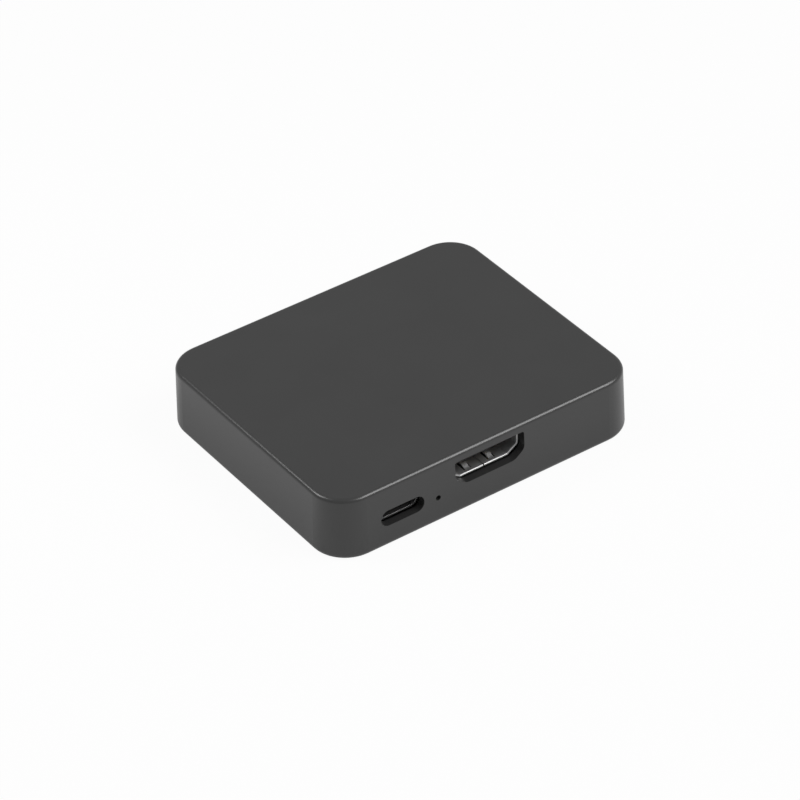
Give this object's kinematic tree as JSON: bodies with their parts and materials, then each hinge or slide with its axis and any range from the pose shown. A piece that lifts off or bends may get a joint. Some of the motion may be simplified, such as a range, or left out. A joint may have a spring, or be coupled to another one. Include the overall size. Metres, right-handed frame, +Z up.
{
  "type": "hdmi splitter",
  "caption": "Flat rounded plastic box that copies a video signal from a front HDMI socket to HDMI sockets on its back, with an oval power inlet and a pinhole status lamp.",
  "frame": {"origin": "middle of the underside, on the surface that the box stands on", "axes": "+X to the right along the front (input) face, +Y from the front to the back (output) face, +Z up"},
  "size_m": [0.065, 0.0542, 0.0125],
  "materials": {
    "case_plastic": "black, semi-gloss, fine moulded texture",
    "plated_steel": "bright nickel plating",
    "satin_steel": "dull satin nickel plating",
    "black_moulding": "matt",
    "gold_contact": "gold flash",
    "board_laminate": "black solder mask",
    "screw_steel": "zinc plated",
    "tinned_metal": "matt tin",
    "can_aluminium": "drawn",
    "capacitor_ceramic": "fired ceramic",
    "lamp_white": "white moulding",
    "lamp_lens": "clear epoxy"
  },
  "bodies": {
    "root": {"upper_shell": "case_plastic", "base_cover": "case_plastic", "circuit_board": "board_laminate", "board_screws": "screw_steel", "input_shell": "plated_steel", "input_insulator": "black_moulding", "input_contacts": "gold_contact", "output_a_shell": "plated_steel", "output_a_insulator": "black_moulding", "output_a_contacts": "gold_contact", "output_b_shell": "plated_steel", "output_b_insulator": "black_moulding", "output_b_contacts": "gold_contact", "power_inlet_shell": "satin_steel", "power_inlet_insulator": "black_moulding", "power_inlet_contacts": "gold_contact", "status_led": "lamp_white", "status_led_lens": "lamp_lens", "splitter_chip": "black_moulding", "splitter_chip_leads": "tinned_metal", "memory_chip": "black_moulding", "memory_chip_leads": "tinned_metal", "regulators": "black_moulding", "regulator_leads": "tinned_metal", "clock_crystal": "plated_steel", "bulk_capacitors": "can_aluminium", "bulk_capacitor_bases": "black_moulding", "chip_capacitors": "capacitor_ceramic", "chip_resistors": "black_moulding", "chip_terminals": "tinned_metal"}
  },
  "joints": []
}
